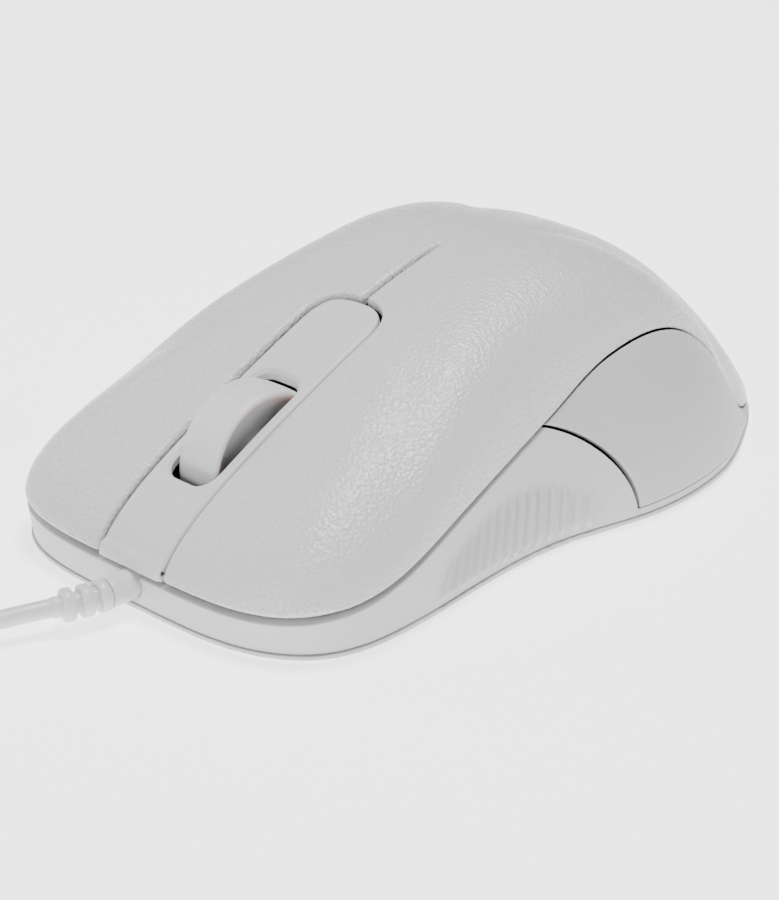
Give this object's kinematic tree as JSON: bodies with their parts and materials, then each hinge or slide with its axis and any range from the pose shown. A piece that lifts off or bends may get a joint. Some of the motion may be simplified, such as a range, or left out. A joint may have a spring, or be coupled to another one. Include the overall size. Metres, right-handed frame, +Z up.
{
  "type": "computer mouse",
  "caption": "Wired three-button optical mouse with ribbed side grips, a centre strip with a scroll wheel, and its cable wound up.",
  "frame": {"origin": "on the table, under the middle of the mouse's own length and width, without the cable", "axes": "+Z up, the cable leaves at -Y, +Y towards the palm, +X towards the left button and the thumb of a right hand"},
  "size_m": [0.0957, 0.1829, 0.0356],
  "materials": {
    "shell": "fine moulded leather grain",
    "strip": "smooth satin",
    "frame": "smooth matte",
    "panel": "fine matte grain",
    "glide": "slippery smooth",
    "board": "lacquered",
    "chip": "moulded",
    "lens": "clear",
    "led": "tinted clear",
    "plunger": "smooth",
    "tyre": "soft translucent",
    "hub": "smooth",
    "steel": "ground",
    "cable": "smooth vinyl",
    "tie": "coated wire",
    "plated": "nickel plated"
  },
  "bodies": {
    "root": {"top_cover": "shell", "centre_strip": "strip", "side_frame": "frame", "left_side_panel": "panel", "right_side_panel": "panel", "base_plate": "frame", "front_foot": "glide", "rear_foot": "glide", "circuit_board": "board", "optical_sensor": "chip", "sensor_lens": "lens", "led": "led", "led_clip": "chip", "left_switch": "chip", "right_switch": "chip", "wheel_switch": "chip", "wheel_spring": "steel", "infrared_emitter": "lens", "infrared_receiver": "chip", "capacitor": "chip", "cable_socket": "hub", "inner_lead": "cable", "case_screws": "steel", "strain_relief": "cable", "cable": "cable", "cable_coil": "cable", "cable_tie": "tie", "cable_end": "cable", "plug_body": "cable", "plug_shell": "plated", "plug_tongue": "chip"},
    "left_button": {"left_button": "shell"},
    "right_button": {"right_button": "shell"},
    "left_plunger": {"left_plunger": "plunger"},
    "right_plunger": {"right_plunger": "plunger"},
    "wheel_axle": {"wheel_axle": "steel"},
    "scroll_wheel": {"wheel_tyre": "tyre", "wheel_hub": "hub"},
    "wheel_plunger": {"wheel_plunger": "plunger"}
  },
  "joints": [
    {"name": "left_click", "type": "hinge", "parent": "root", "child": "left_button", "pos_m": [0, 0.004, 0.034], "axis": [1, 0, 0], "range_deg": [0, 0.66], "stiffness_Nm_per_rad": 1.5, "springref_deg": -0.69},
    {"name": "right_click", "type": "hinge", "parent": "root", "child": "right_button", "pos_m": [0, 0.004, 0.034], "axis": [1, 0, 0], "range_deg": [0, 0.66], "stiffness_Nm_per_rad": 1.5, "springref_deg": -0.69},
    {"name": "left_plunger_slide", "type": "slide", "parent": "root", "child": "left_plunger", "axis": [0, 0, -1], "range_m": [0, 0.0005]},
    {"name": "right_plunger_slide", "type": "slide", "parent": "root", "child": "right_plunger", "axis": [0, 0, -1], "range_m": [0, 0.0005]},
    {"name": "wheel_click", "type": "slide", "parent": "root", "child": "wheel_axle", "axis": [0, 0, -1], "range_m": [0, 0.0005], "stiffness_N_per_m": 600, "springref_m": -0.001},
    {"name": "wheel_turn", "type": "hinge", "parent": "wheel_axle", "child": "scroll_wheel", "pos_m": [0, -0.035, 0.0146], "axis": [1, 0, 0], "continuous": true},
    {"name": "wheel_plunger_slide", "type": "slide", "parent": "root", "child": "wheel_plunger", "axis": [0, 0, -1], "range_m": [0, 0.0005]}
  ],
  "couplings": [
    {"joint": "left_plunger_slide", "follows": "left_click", "m_per_rad": 0.0425},
    {"joint": "right_plunger_slide", "follows": "right_click", "m_per_rad": 0.0425},
    {"joint": "wheel_plunger_slide", "follows": "wheel_click", "ratio": 1}
  ]
}
